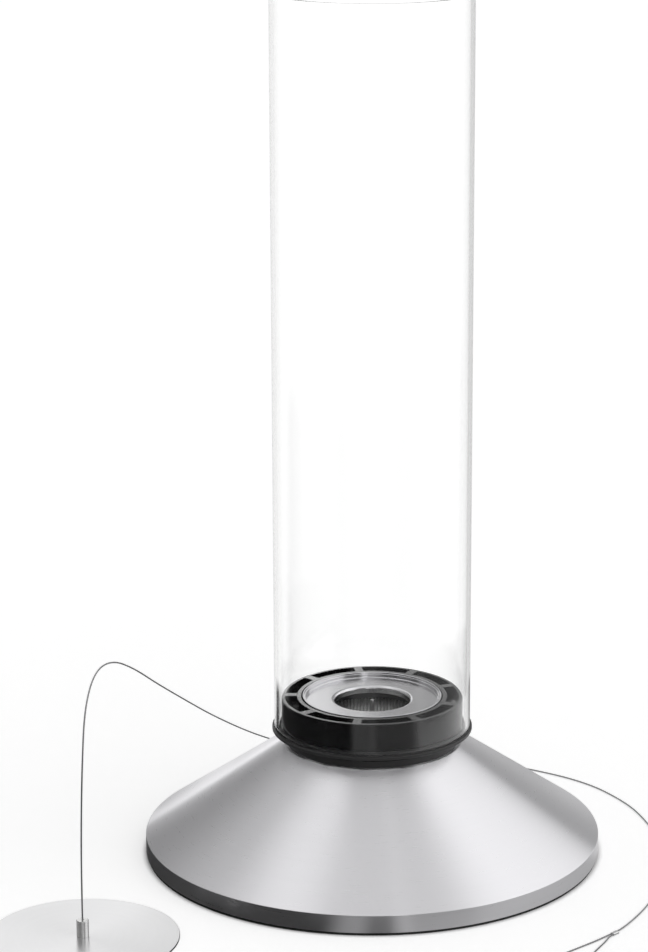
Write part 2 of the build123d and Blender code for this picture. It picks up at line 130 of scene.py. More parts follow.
def loft(
    rings: list[np.ndarray], first: int = 0, closed: bool = False, cap: bool = True
) -> tuple[np.ndarray, Faces]:
    """Joins rings of equal length into a skin.

    Args:
        rings: The rings, each with one row for each point.
        first: The number of the first vertex.
        closed: Whether the last ring joins the first one.
        cap: Whether the two end rings are filled, where the skin isn't closed.

    Returns:
        The vertices and the faces.
    """
    count = len(rings[0])
    vertices = np.concatenate(rings)
    faces: Faces = []
    pairs = len(rings) if closed else len(rings) - 1
    for row in range(pairs):
        low, high = first + row * count, first + (row + 1) % len(rings) * count
        for column in range(count):
            beside = (column + 1) % count
            faces.append((low + column, low + beside, high + beside, high + column))
    if cap and not closed:
        top = first + (len(rings) - 1) * count
        faces.append(tuple(range(first + count - 1, first - 1, -1)))
        faces.append(tuple(range(top, top + count)))
    return vertices, faces


def lofts(bars: list[list[np.ndarray]]) -> tuple[np.ndarray, Faces]:
    """Lofts several runs of rings into one mesh.

    Args:
        bars: The rings of each run.

    Returns:
        The vertices and the faces of them all.
    """
    vertices: list[np.ndarray] = []
    faces: Faces = []
    start = 0
    for rings in bars:
        points, skin = loft(rings, first=start)
        start += len(points)
        vertices.append(points)
        faces += skin
    return np.concatenate(vertices), faces


def turned(name: str, profile: Profile, segments: int = 256) -> bpy.types.Object:
    """Turns a closed outline round the Z axis, as on a lathe.

    Args:
        name: The piece's name.
        profile: Radius and height of the outline's points, anticlockwise.
        segments: Steps round the axis.

    Returns:
        The turned piece.
    """
    on_axis = [index for index, point in enumerate(profile) if point[0] < 1e-9]
    if on_axis:
        start = next(i for i in on_axis if (i - 1) % len(profile) in on_axis)
        profile = profile[start:] + profile[:start]
        inner = profile[1:-1]
    else:
        inner = profile
    rings = [circle_ring(radius, height, segments) for radius, height in inner]
    vertices, faces = loft(rings, closed=not on_axis, cap=False)
    if on_axis:
        last = len(vertices)
        vertices = np.concatenate([vertices, [(0, 0, profile[0][1]), (0, 0, profile[-1][1])]])
        high = last - segments
        for column in range(segments):
            beside = (column + 1) % segments
            faces.append((last, beside, column))
            faces.append((last + 1, high + column, high + beside))
    made = make_object(name, vertices, faces)
    # Flat faces stay flat beside rounded edges.
    weight = made.modifiers.new("weighted normals", "WEIGHTED_NORMAL")
    weight.keep_sharp = True
    return made


def circle_ring(radius: float | np.ndarray, height: float, count: int) -> np.ndarray:
    """Finds the points of a level ring round the Z axis.

    Args:
        radius: Its radius, or one for each point.
        height: Its height.
        count: The number of points.

    Returns:
        The points.
    """
    angle = np.arange(count) * TURN / count
    return np.stack([radius * np.cos(angle), radius * np.sin(angle), np.full(count, height)], axis=1)


def hexagon_ring(flats: float, height: float, count: int) -> np.ndarray:
    """Finds the points of a level hexagon round the Z axis.

    Args:
        flats: Its width across two flats.
        height: Its height.
        count: The number of points, on the same angles as a circle's.

    Returns:
        The points.
    """
    angle = np.arange(count) * TURN / count
    return circle_ring(flats / 2 / np.cos((angle % (TURN / 6)) - TURN / 12), height, count)


# Materials


class Nodes:
    """Builds the node tree of a material or a world."""

    def __init__(self, name: str, world: bool = False) -> None:
        """Starts an empty node tree.

        Args:
            name: The name of the material or world.
            world: Whether it is a world.
        """
        self.owner = (bpy.data.worlds if world else bpy.data.materials).new(name)
        self.owner.use_nodes = True
        self.tree = self.owner.node_tree
        self.tree.nodes.clear()
        self.output = self.add("OutputWorld" if world else "OutputMaterial")

    def add(self, kind: str, **settings: object) -> bpy.types.Node:
        """Adds a node.

        Args:
            kind: The node's type, without its prefix.
            settings: The node's properties.

        Returns:
            The node.
        """
        node = self.tree.nodes.new(f"ShaderNode{kind}")
        for key, value in settings.items():
            setattr(node, key, value)
        return node

    def feed(self, sockets: list[Socket], *values: Value) -> None:
        """Links a socket into each of these sockets, or sets its value.

        Args:
            sockets: The sockets to feed, in order.
            values: A socket, a number or a colour for each.
        """
        for socket, value in zip(sockets, values):
            if isinstance(value, Socket):
                self.tree.links.new(value, socket)
            else:
                socket.default_value = value

    def made(self, node: bpy.types.Node, *values: Value) -> Socket:
        """Feeds a node's first inputs and returns its first result."""
        self.feed(node.inputs, *values)
        return node.outputs[0]

    def maths(self, operation: str, *values: Value) -> Socket:
        """Adds a Math node and returns its result."""
        return self.made(self.add("Math", operation=operation), *values)

    def scaled(self, parts: list[Socket], *scales: float) -> Socket:
        """Joins three numbers into a vector, each times its scale."""
        return self.made(self.add("CombineXYZ"), *[self.maths("MULTIPLY", *pair) for pair in zip(parts, scales)])

    def parts(self, vector: Socket) -> list[Socket]:
        """Splits a vector into its three numbers.

        Args:
            vector: The vector.

        Returns:
            Its X, Y and Z.
        """
        node = self.add("SeparateXYZ")
        self.feed(node.inputs, vector)
        return list(node.outputs)

    def place(self) -> Socket:
        """The point on the piece, in metres from the piece's own origin."""
        return self.add("TexCoord").outputs["Object"]

    def reach(self, x: Socket, y: Socket) -> Socket:
        """How far a point is from the Z axis."""
        return self.maths("SQRT", self.maths("ADD", self.maths("MULTIPLY", x, x), self.maths("MULTIPLY", y, y)))

    def azimuth(self, x: Socket, y: Socket) -> Socket:
        """The way to a point in degrees, from 0 behind the object to 90 on its right."""
        return self.maths("DEGREES", self.maths("ARCTAN2", x, y))

    def noise(self, vector: Socket, scale: float, detail: float, rough: float = 0.5) -> Socket:
        """Adds a Noise texture.

        Args:
            vector: Where it is read.
            scale: Its scale.
            detail: Its octaves.
            rough: How strong the finer octaves are.

        Returns:
            Its factor.
        """
        node = self.add("TexNoise")
        names = ("Vector", "Scale", "Detail", "Roughness")
        self.feed([node.inputs[name] for name in names], vector, scale, detail, rough)
        return node.outputs["Fac"]

    def ramp(self, value: Socket, low: float, high: float, start: float, end: float, smooth: bool = False) -> Socket:
        """Maps a number from one range to another, clamped.

        Args:
            value: The number.
            low: Where the ramp starts.
            high: Where it ends.
            start: The result at its start.
            end: The result at its end.
            smooth: Whether it eases in and out.

        Returns:
            The result.
        """
        node = self.add("MapRange", interpolation_type="SMOOTHSTEP" if smooth else "LINEAR")
        return self.made(node, value, low, high, start, end)

    def mix(self, share: Value, one: Value, other: Value) -> Socket:
        """Mixes two colours.

        Args:
            share: The second colour's share.
            one: The first colour.
            other: The second colour.

        Returns:
            The mixed colour.
        """
        node = self.add("Mix", data_type="RGBA")
        self.feed([node.inputs[0], *node.inputs[6:8]], share, one, other)
        return node.outputs[2]

    def bump(
        self, height: Socket, distance: float, strength: float, edge: float = 0.0, normal: Socket | None = None
    ) -> Socket:
        """Adds a Bump node.

        Args:
            height: The height.
            distance: What a height of 1 stands for, in metres.
            strength: How much of it is used.
            edge: The radius of the edges below it, or 0 where they stay as they are.
            normal: The normal below it, where no edge is given.

        Returns:
            The bumped normal.
        """
        if edge > 0:
            bevel = self.add("Bevel", samples=6)
            bevel.inputs["Radius"].default_value = edge
            normal = bevel.outputs[0]
        node = self.add("Bump")
        names = ("Height", "Distance", "Strength") if normal is None else ("Height", "Distance", "Strength", "Normal")
        self.feed([node.inputs[name] for name in names], height, distance, strength, normal)
        return node.outputs[0]

    def glow(self, strength: Value) -> Socket:
        """Adds white light of a strength and returns its shader."""
        return self.made(self.add("Emission"), (1.0, 1.0, 1.0, 1.0), strength)

    def shade(self, shader: Socket) -> bpy.types.Material | bpy.types.World:
        """Sends a shader to the output and returns the material or world."""
        self.tree.links.new(shader, self.output.inputs["Surface"])
        return self.owner

    def finish(self, **sockets: Value) -> bpy.types.Material:
        """Adds the Principled shader.

        Args:
            sockets: What feeds each socket, its name with spaces as underscores.

        Returns:
            The finished material.
        """
        shader = self.add("BsdfPrincipled")
        self.feed([shader.inputs[name.replace("_", " ")] for name in sockets], *sockets.values())
        return self.shade(shader.outputs[0])


def opaque(colour: Colour, share: float = 1.0) -> tuple[float, ...]:
    """Scales a colour and gives it an alpha.

    Args:
        colour: The colour.
        share: What it is multiplied by.

    Returns:
        The colour, no part of it over 1.
    """
    return (*(min(1.0, part * share) for part in colour), 1.0)


class Lay(Enum):
    """Which way brush lines or machining marks run."""

    ROUND = "round the piece's own axis"
    NONE = "no direction"


@dataclass(frozen=True)
class Steel:
    """A metal with brushed, turned or plain rolled skin."""

    name: str
    colour: Colour
    roughness: float
    lay: Lay = Lay.ROUND
    line: float = 0.4 * MM
    tone: float = 0.05
    depth: float = 0.004 * MM
    directional: float = 0.8
    edge: float = 0.15 * MM
    spread: float = 0.1

    def material(self) -> bpy.types.Material:
        """Builds the material.

        Returns:
            The metal, with lines in its tone, its roughness and its bump.
        """
        nodes = Nodes(self.name)
        place = nodes.parts(nodes.place())
        line = 1 / self.line
        # A rolled skin has small grains and wide clouds, the same all ways.
        scales = ((line / 4,) * 3, (line / 30,) * 3)
        if self.lay is Lay.ROUND:
            # Lines run long round the axis and lie close together outwards and up.
            x, y, z = place
            out = nodes.reach(x, y)
            safe = nodes.maths("MAXIMUM", out, 1e-5)
            level = nodes.maths("SUBTRACT", out, z)
            place = [nodes.maths("DIVIDE", x, safe), nodes.maths("DIVIDE", y, safe), level]
            scales = ((6, 6, line), (1.5, 1.5, 0.13 * line))
        lines, wide = (nodes.scaled(place, *scale) for scale in scales)
        fine = nodes.noise(lines, 1.0, 3, 0.6)
        broad = nodes.noise(wide, 1.0, 2)
        both = nodes.maths("ADD", nodes.maths("MULTIPLY", fine, 0.6), nodes.maths("MULTIPLY", broad, 0.4))
        dark, light = opaque(self.colour, 1 - self.tone), opaque(self.colour, 1 + self.tone)
        low, high = self.roughness * (1 - self.spread), self.roughness * (1 + self.spread)
        sockets = {
            "Base_Color": nodes.mix(nodes.ramp(both, 0.3, 0.7, 0, 1), dark, light),
            "Metallic": 1.0,
            "Roughness": nodes.ramp(fine, 0.25, 0.75, low, high),
            "Normal": nodes.bump(fine, self.depth, 0.6, self.edge),
        }
        if self.lay is Lay.ROUND:
            sockets["Anisotropic"] = self.directional
            sockets["Anisotropic_Rotation"] = 0.25
            sockets["Tangent"] = nodes.add("Tangent", direction_type="RADIAL", axis="Z").outputs[0]
        return nodes.finish(**sockets)


@dataclass(frozen=True)
class Enamel:
    """A black coat baked on metal."""

    name: str
    colour: Colour
    roughness: float
    coat: float
    peel: float = 3 * MM
    grain: float = 0.35 * MM
    depth: float = 0.004 * MM
    edge: float = 0.3 * MM
    fall: float = 0.0
    coat_roughness: float = 0.12

    def material(self) -> bpy.types.Material:
        """Builds the material.

        Returns:
            The black coat, with the faint waviness and dust grain of a sprayed skin. Its top faces
            carry the clear coat and fall away outwards.
        """
        nodes = Nodes(self.name)
        place = nodes.place()
        x, y, _ = nodes.parts(place)
        level = nodes.parts(nodes.add("NewGeometry").outputs["Normal"])[2]
        crown = nodes.bump(nodes.maths("MULTIPLY", nodes.reach(x, y), -self.fall), 1.0, 1.0, self.edge)
        peel = nodes.noise(place, 1 / self.peel, 2)
        dust = nodes.noise(place, 1 / self.grain, 1)
        skin = nodes.maths("ADD", nodes.maths("MULTIPLY", peel, 0.7), nodes.maths("MULTIPLY", dust, 0.3))
        return nodes.finish(
            Base_Color=nodes.mix(dust, opaque(self.colour), opaque(self.colour, 1.5)),
            Roughness=nodes.ramp(peel, 0.3, 0.7, self.roughness * 0.85, self.roughness * 1.2),
            Normal=nodes.bump(skin, self.depth, 0.5, normal=crown),
            IOR=1.5,
            Coat_Weight=nodes.ramp(level, 0.7, 0.95, 0.0, self.coat),
            Coat_Roughness=self.coat_roughness,
            Coat_Normal=crown,
        )


@dataclass(frozen=True)
class Rubber:
    """Moulded rubber or silicone."""

    name: str
    colour: Colour
    roughness: float
    grain: float = 0.5 * MM
    bloom: float = 12 * MM

    def material(self) -> bpy.types.Material:
        """Builds the material.

        Returns:
            The rubber, with a fine moulded grain and a little bloom.
        """
        nodes = Nodes(self.name)
        place = nodes.place()
        grain = nodes.noise(place, 1 / self.grain, 3)
        bloom = nodes.noise(place, 1 / self.bloom, 2)
        light = opaque(tuple(part * 1.35 + 0.004 for part in self.colour))
        return nodes.finish(
            Base_Color=nodes.mix(bloom, opaque(self.colour), light),
            Roughness=nodes.ramp(grain, 0.3, 0.7, self.roughness * 0.9, min(1.0, self.roughness * 1.1)),
            Normal=nodes.bump(grain, 0.02 * MM, 0.6),
            IOR=1.41,
        )


@dataclass(frozen=True)
class ClearGlass:
    """Clear tube glass with drawn waviness too faint to see straight on."""

    name: str
    colour: Colour
    wave: float

    def material(self) -> bpy.types.Material:
        """Builds the material.

        Returns:
            The glass.
        """
        nodes = Nodes(self.name)
        wave = nodes.noise(nodes.scaled(nodes.parts(nodes.place()), 40, 40, 6), 1.0, 1)
        return nodes.finish(
            Base_Color=opaque(self.colour),
            Roughness=0.0,
            IOR=1.47,
            Transmission_Weight=1.0,
            Normal=nodes.bump(wave, self.wave, 0.3),
        )


@dataclass(frozen=True)
class Fleece:
    """Pressed ceramic fibre."""

    name: str
    colour: Colour
    fibre: float = 0.25 * MM
    tuft: float = 4 * MM

    def material(self) -> bpy.types.Material:
        """Builds the material.

        Returns:
            The fleece, with fibres that run all ways and a little soot.
        """
        nodes = Nodes(self.name)
        x, y, z = nodes.parts(nodes.place())
        fibres = None
        for turn in (0.2, 1.1, 2.0, 2.7):
            c, s = math.cos(turn), math.sin(turn)
            along = nodes.maths("ADD", nodes.maths("MULTIPLY", x, c), nodes.maths("MULTIPLY", y, s))
            across = nodes.maths("SUBTRACT", nodes.maths("MULTIPLY", y, c), nodes.maths("MULTIPLY", x, s))
            lines = nodes.scaled([along, across, z], 1 / (12 * self.fibre), 1 / self.fibre, 1 / self.fibre)
            strand = nodes.noise(lines, 1.0, 1)
            fibres = strand if fibres is None else nodes.maths("MAXIMUM", fibres, strand)
        tuft = nodes.noise(nodes.place(), 1 / self.tuft, 3)
        soot = nodes.ramp(tuft, 0.3, 0.7, 0, 1)
        return nodes.finish(
            Base_Color=nodes.mix(soot, opaque(self.colour, 0.72), opaque(self.colour)),
            Roughness=0.95,
            Sheen_Weight=0.3,
            Normal=nodes.bump(nodes.maths("ADD", fibres, tuft), 0.3 * MM, 0.8),
        )


Finish = Steel | Enamel | Rubber | ClearGlass | Fleece

CONE = Steel(
    "cone_brushed", (0.72, 0.715, 0.735), 0.28, line=0.6 * MM, tone=0.01, depth=0.00015 * MM,
    directional=1.0, edge=0.0, spread=0.03,
)
DISC = Steel(
    "disc_brushed", (0.78, 0.78, 0.785), 0.3, line=0.4 * MM, tone=0.02, depth=0.002 * MM,
    directional=0.7, edge=0.0, spread=0.06,
)
LID = Steel(
    "lid_turned", (0.68, 0.677, 0.692), 0.2, line=0.35 * MM, tone=0.04, depth=0.002 * MM,
    directional=0.6, edge=0.0, spread=0.08,
)
CAN = Steel("can_drawn", (0.56, 0.56, 0.55), 0.34, line=0.8 * MM, tone=0.06, directional=0.5)
PLATE = Steel("plate_zinc", (0.52, 0.53, 0.54), 0.42, Lay.NONE, tone=0.12)
FASTENER = Steel("fastener_steel", (0.5, 0.5, 0.5), 0.34, line=0.2 * MM, tone=0.1, directional=0.4)
MESH = Steel("mesh_wire", (0.86, 0.86, 0.85), 0.65, Lay.NONE, line=0.1 * MM, tone=0.2, edge=0.0)
MESH_RING = Steel("mesh_ring_steel", (0.16, 0.16, 0.163), 0.4, line=0.3 * MM, tone=0.1, directional=0.4)
PIN = Steel("pin_steel", (0.32, 0.32, 0.318), 0.3, line=0.2 * MM, tone=0.08, directional=0.3)
FERRULE = Steel("ferrule_turned", (0.66, 0.66, 0.655), 0.26, line=0.2 * MM, tone=0.06, directional=0.5, edge=0.0)
ROPE = Steel("rope_wire", (0.38, 0.38, 0.385), 0.36, Lay.NONE, line=0.08 * MM, tone=0.15, edge=0.0)
SLEEVE = Steel("sleeve_crimped", (0.62, 0.62, 0.62), 0.4, Lay.NONE, line=0.1 * MM, tone=0.1, edge=0.0)
GLOSS_BLACK = Enamel(
    "ring_gloss_black", (0.006, 0.006, 0.0065), 0.16, 1.0, depth=0.0002 * MM, edge=0.25 * MM, fall=0.09
)
SATIN_BLACK = Enamel("collar_satin_black", (0.019, 0.019, 0.0195), 0.4, 0.0, depth=0.002 * MM, edge=0.12 * MM)
FOOT = Rubber("foot_rubber", (0.012, 0.012, 0.012), 0.7)
GASKET = Rubber("gasket_silicone", (0.03, 0.03, 0.03), 0.5)
GLASS = ClearGlass("tube_glass", (0.999, 1.0, 0.9995), 0.0003 * MM)
FLEECE = Fleece("wick_fibre", (0.12, 0.118, 0.112))


@dataclass
class Workshop:
    """Dresses CAD nodes and adds pieces, with one material for each finish."""

    nodes: dict[str, bpy.types.Object]
    made: dict[str, bpy.types.Material] = field(default_factory=dict)

    def material(self, finish: Finish) -> bpy.types.Material:
        """Gets the material of a finish, built the first time.

        Args:
            finish: The finish.

        Returns:
            Its one material.
        """
        if finish.name not in self.made:
            self.made[finish.name] = finish.material()
        return self.made[finish.name]

    def dress(self, finish: Finish, *names: str) -> None:
        """Gives CAD nodes a finish.

        Args:
            finish: The finish.
            names: The nodes.
        """
        for name in names:
            data = self.nodes[name].data
            data.materials.clear()
            data.materials.append(self.material(finish))
            log.info("%s keeps its CAD mesh, in %s", name, finish.name)

    def add(self, piece: bpy.types.Object, finish: Finish, body: str, slot: str, *replaced: str) -> bpy.types.Object:
        """Dresses a new piece and hangs it on a body.

        Args:
            piece: The piece.
            finish: Its finish.
            body: The CAD body that it rides on.
            slot: The record's material slot. It is not used.
            replaced: The CAD nodes that it stands for.

        Returns:
            The piece.
        """
        piece.data.materials.append(self.material(finish))
        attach(piece, body)
        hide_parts(*replaced)
        log.info("%s stands for %s on %s", piece.name, ", ".join(replaced), body)
        return piece


# Sub-assemblies


@dataclass
class Screws:
    """Countersunk screws with hex sockets, on a circle, with their heads below."""

    circle: float
    count: int
    start: float
    face: float
    head: float
    head_depth: float
    shank: float
    length: float
    socket: float
    socket_depth: float

    def build(self, name: str) -> bpy.types.Object:
        """Builds the screws as one piece.

        Args:
            name: The piece's name.

        Returns:
            The piece.
        """
        sides = 48
        edge = 0.12 * MM
        root, tip = self.shank * 0.86, self.shank * 0.7
        rings = [
            hexagon_ring(self.socket * 0.2, -self.socket_depth * 1.15, sides),
            hexagon_ring(self.socket, -self.socket_depth, sides),
            hexagon_ring(self.socket, -edge, sides),
            hexagon_ring(self.socket + edge * 1.6, 0, sides),
            circle_ring(self.head - edge, 0, sides),
            circle_ring(self.head, -edge, sides),
            circle_ring(self.shank, -self.head_depth, sides),
        ]
        pitch = self.shank * 0.35
        turns = int((self.length - self.head_depth) / pitch)
        for turn in range(turns):
            level = -self.head_depth - turn * pitch
            rings.append(circle_ring(self.shank, level - pitch * 0.1, sides))
            rings.append(circle_ring(root, level - pitch * 0.5, sides))
        rings.append(circle_ring(self.shank, -self.length + pitch * 0.5, sides))
        rings.append(circle_ring(tip, -self.length, sides))
        screws = []
        for index in range(self.count):
            angle = math.radians(self.start + index * 360 / self.count)
            spot = (self.circle * math.cos(angle), self.circle * math.sin(angle), self.face)
            screws.append([ring * (1, -1, -1) + spot for ring in rings])
        return make_object(name, *lofts(screws), 30)


@dataclass
class Base:
    """The cone with its plate, foot, dish and fastenings."""

    radius: float = 137.5 * MM
    foot: float = 1.6 * MM
    rim: float = 12.2 * MM
    shelf: float = 69.6 * MM
    shelf_radius: float = 54.0 * MM
    bore: float = 44.0 * MM
    sheet: float = 1.5 * MM
    rim_round: float = 0.5 * MM
    screw_circle: float = 127.5 * MM

    def cone(self) -> bpy.types.Object:
        """Turns the spun cone with its rim and shelf.

        Returns:
            The cone.
        """
        slope = math.atan2(self.shelf - self.rim, self.radius - self.shelf_radius)
        drop = self.sheet / math.cos(slope)
        inside = self.radius - self.sheet
        corners = [
            (inside, self.foot, 0.15 * MM),
            (self.radius, self.foot, 0.25 * MM),
            (self.radius, self.rim, self.rim_round),
            (self.shelf_radius, self.shelf, 1.2 * MM),
            (self.bore, self.shelf, 0.2 * MM),
            (self.bore, self.shelf - self.sheet, 0.2 * MM),
            (self.shelf_radius - (drop - self.sheet) / math.tan(slope), self.shelf - self.sheet, 0.8 * MM),
            (inside, self.rim + self.sheet * math.tan(slope) - drop, 0.3 * MM),
        ]
        return turned("cone", rounded(corners), 384)

    def build(self, shop: Workshop) -> None:
        """Builds and dresses the base.

        Args:
            shop: The workshop.
        """
        shop.add(self.cone(), CONE, "base", "cone_steel", "cone_shell")
        plate_screws = Screws(
            circle=self.screw_circle, count=6, start=30, face=self.foot, head=4 * MM, head_depth=2.1 * MM,
            shank=1.95 * MM, length=7.2 * MM, socket=2.5 * MM, socket_depth=1.1 * MM,
        )
        shop.add(plate_screws.build("plate_screws_hex"), FASTENER, "base", "screw_steel", "plate_screws")
        shop.dress(PLATE, "base_plate", "rim_tabs", "stiffening_ring", "spring_washers")
        shop.dress(CAN, "burner_dish")
        shop.dress(FASTENER, "dish_screws", "ring_screws")
        shop.dress(FOOT, "foot_ring")
        shop.dress(SATIN_BLACK, "collar")
        shop.nodes["collar"].visible_glossy = False
        shop.dress(GLOSS_BLACK, "swirl_ring")
        shop.dress(GASKET, "glass_gasket")


@dataclass
class Chimney:
    """The open glass tube."""

    inside: float = 56.5 * MM
    outside: float = 59.0 * MM
    bottom: float = 79.5 * MM
    top: float = 518.7 * MM
    edge: float = 0.8 * MM

    def build(self, shop: Workshop) -> None:
        """Builds the glass with fire-polished ends.

        Args:
            shop: The workshop.
        """
        corners = [
            (self.inside, self.bottom, self.edge),
            (self.outside, self.bottom, self.edge),
            (self.outside, self.top, self.edge),
            (self.inside, self.top, self.edge),
        ]
        shop.add(turned("glass", rounded(corners, 8), 384), GLASS, "chimney", "clear_glass", "glass_tube")


@dataclass
class Burner:
    """The lift-out burner: can, lid, fleece, wire mesh, rod and nut."""

    can: float = 41.0 * MM
    wall: float = 0.8 * MM
    fit: float = 0.1 * MM
    sheet: float = 0.8 * MM
    top: float = 98.3 * MM
    skirt: float = 9.0 * MM
    sink: float = 3.0 * MM
    crown: float = 0.3 * MM
    corner: float = 0.3 * MM
    ledge: float = 0.6 * MM
    mouth: float = 22.6 * MM
    mouth_round: float = 2.0 * MM
    mouth_depth: float = 4.0 * MM
    fleece_bottom: float = 6.9 * MM
    fleece_top: float = 83.3 * MM
    fleece_radius: float = 39.9 * MM
    mesh_radius: float = 36.4 * MM
    mesh_top: float = 84.18 * MM
    mesh_pitch: float = 2.07 * MM
    bar: tuple[tuple[float, float], ...] = ((1.0 * MM, 0.5 * MM), (0.3 * MM, 0.3 * MM))
    bar_rounding: tuple[float, float] = (0.6, 0.35)
    cross_drop: float = 0.24 * MM
    rod: float = 1.25 * MM
    rod_top: float = 95.0 * MM
    nut: float = 5.5 * MM
    nut_bottom: float = 84.2 * MM
    nut_height: float = 2.4 * MM

    def lid(self) -> bpy.types.Object:
        """Turns the rolled lid with its sunk plate and turned-down mouth.

        Returns:
            The lid.
        """
        bead = self.wall / 2 + self.fit + self.sheet
        middle = self.can - self.wall / 2
        bead_level = self.top - bead
        inner_bead = bead - self.sheet
        plate = self.top - self.sink
        crown = plate + self.crown
        bend = self.mouth_round
        profile: Profile = []

        def arc(across: float, up: float, radius: float, start: float, sweep: float, steps: int) -> None:
            """Adds an arc's points to the outline.

            Args:
                across: Its centre's radius from the axis.
                up: Its centre's height.
                radius: Its radius.
                start: Where it starts, in degrees.
                sweep: How far it turns, in degrees.
                steps: Its straight steps.
            """
            for step in range(steps + 1):
                angle = math.radians(start + sweep * step / steps)
                profile.append((across + radius * math.cos(angle), up + radius * math.sin(angle)))

        rim = middle + bead
        wall = self.can - self.wall - 0.2 * MM
        hollow = 0.5 * MM
        edge = 0.15 * MM
        shoulder = bead_level + self.ledge
        # The rim's thin top, the step inside it and the sunk plate.
        arc(rim - self.corner, self.top - self.corner, self.corner, 0, 90, 8)
        arc(rim - self.sheet + self.corner, self.top - self.corner, self.corner, 90, 90, 8)
        profile.append((rim - self.sheet, shoulder))
        arc(wall + self.corner, shoulder - self.corner, self.corner, 90, 90, 8)
        arc(wall - hollow, plate + hollow, hollow, 0, -90, 5)
        # The mouth, rolled over, down to its lower edge and back up behind.
        arc(self.mouth + bend, crown - bend, bend, 90, 90, 12)
        bottom = plate - self.mouth_depth
        arc(self.mouth + edge, bottom + edge, edge, 180, 90, 3)
        arc(self.mouth + self.sheet - edge, bottom + edge, edge, 270, 90, 3)
        arc(self.mouth + bend, crown - bend, bend - self.sheet, 180, -90, 8)
        # Under the plate, over the can's edge and down the skirt.
        profile.append((middle - inner_bead, plate - self.sheet))
        arc(middle, bead_level, inner_bead, 180, -180, 12)
        foot = bead_level - self.skirt
        profile.append((middle + inner_bead, foot))
        arc(self.can + self.fit + self.sheet - edge, foot + edge, edge, 270, 90, 3)
        return turned("lid", profile[::-1], 320)

    def fleece(self) -> bpy.types.Object:
        """Builds the fleece with a lumpy top, pressed down at its edge.

        Returns:
            The fleece.
        """
        sides = 160
        rng = np.random.default_rng(7)
        hole = self.rod + 0.3 * MM
        lumps, pressed = 0.05 * MM, 0.25 * MM
        rings = [circle_ring(hole, self.fleece_bottom, sides)]
        rings += [circle_ring(self.fleece_radius - 3 * MM, self.fleece_bottom, sides)]
        for height in np.linspace(self.fleece_bottom + 3 * MM, self.fleece_top - 1.5 * MM, 24):
            rings.append(circle_ring(self.fleece_radius, height, sides))
        phase = rng.uniform(0, TURN, (5, 3))
        for radius in np.linspace(self.fleece_radius - 0.4 * MM, hole, 36):
            ring = circle_ring(radius, self.fleece_top, sides)
            x, y = ring[:, 0] / MM, ring[:, 1] / MM
            lump = sum(
                np.sin(x / (4 + 2 * k) + phase[k, 0]) * np.sin(y / (3 + 2 * k) + phase[k, 1]) for k in range(len(phase))
            )
            ring[:, 2] += lumps * lump - pressed
            rings.append(ring)
        return make_object("fleece", *loft(rings, closed=True))

    def mesh(self) -> bpy.types.Object:
        """Builds the mesh: flat wires that run from front to back, welded on thin cross wires.

        Returns:
            The mesh.
        """
        sides = 16
        angle = (np.arange(sides) + 0.5) * TURN / sides
        circle = (np.cos(angle), np.sin(angle))
        wave = [np.sign(turn) * np.abs(turn) ** power for turn, power in zip(circle, self.bar_rounding)]
        count = int(self.mesh_radius / self.mesh_pitch)
        wires = []
        for across, (wide, thick) in enumerate(self.bar):
            level = self.mesh_top - thick / 2 - across * self.cross_drop
            hole = self.rod + wide / 2 + 0.05 * MM
            for row in range(-count, count + 1):
                offset = row * self.mesh_pitch
                reach = math.sqrt(self.mesh_radius**2 - (abs(offset) + wide / 2) ** 2)
                gap = math.sqrt(max(0.0, hole**2 - offset**2))
                for low, high in [(-reach, -gap), (gap, reach)] if gap else [(-reach, reach)]:
                    rings = []
                    for along in (low, high):
                        side = offset + wide / 2 * wave[0]
                        run = np.full(sides, along)
                        up = level + thick / 2 * wave[1]
                        rings.append(np.stack((run, side, up) if across else (side, run, up), axis=1))
                    wires.append(rings if across else rings[::-1])
        return make_object("mesh_wires", *lofts(wires), 50)

    def rod_piece(self) -> bpy.types.Object:
        """Builds the rod, threaded where the nut sits and domed at its top.

        Returns:
            The rod.
        """
        sides, pitch = 36, 0.45 * MM
        thread, dome = 0.2 * MM, (0.6 * MM, 0.5 * MM)
        angle = np.arange(sides) / sides
        thread_low = self.nut_bottom - 3 * MM
        thread_high = self.nut_bottom + self.nut_height + 2.2 * MM
        rings = [circle_ring(self.rod, self.fleece_bottom, sides), circle_ring(self.rod, thread_low, sides)]
        for level in np.arange(thread_low, thread_high, pitch / 6):
            wave = np.abs(((level / pitch - angle) % 1) - 0.5) * 2
            fade = min(1.0, (level - thread_low) / pitch, (thread_high - level) / pitch)
            rings.append(circle_ring(self.rod - thread * wave * max(0.0, fade), level, sides))
        rings.append(circle_ring(self.rod, thread_high, sides))
        for share in (0.0, 0.35, 0.6, 0.8, 0.93, 1.0):
            rings.append(circle_ring(self.rod - dome[0] * share**2, self.rod_top - dome[1] * (1 - share), sides))
        return make_object("rod", *loft(rings))

    def nut_piece(self) -> bpy.types.Object:
        """Builds the nut with its chamfered corners and bore.

        Returns:
            The nut.
        """
        sides = 96
        low, high = self.nut_bottom, self.nut_bottom + self.nut_height
        edge, inset, lead = 0.3 * MM, 0.45 * MM, 0.2 * MM
        bore = self.rod + 0.05 * MM
        across_corners = 1.155 * self.nut

        def body(height: float, limit: float) -> np.ndarray:
            """Finds a hexagon ring, cut back to a circle by the chamfer.

            Args:
                height: Its height.
                limit: The circle's radius.

            Returns:
                The ring.
            """
            ring = hexagon_ring(self.nut, height, sides)
            size = np.linalg.norm(ring[:, :2], axis=1)
            ring[:, :2] *= np.minimum(1, limit / size)[:, None]
            return ring

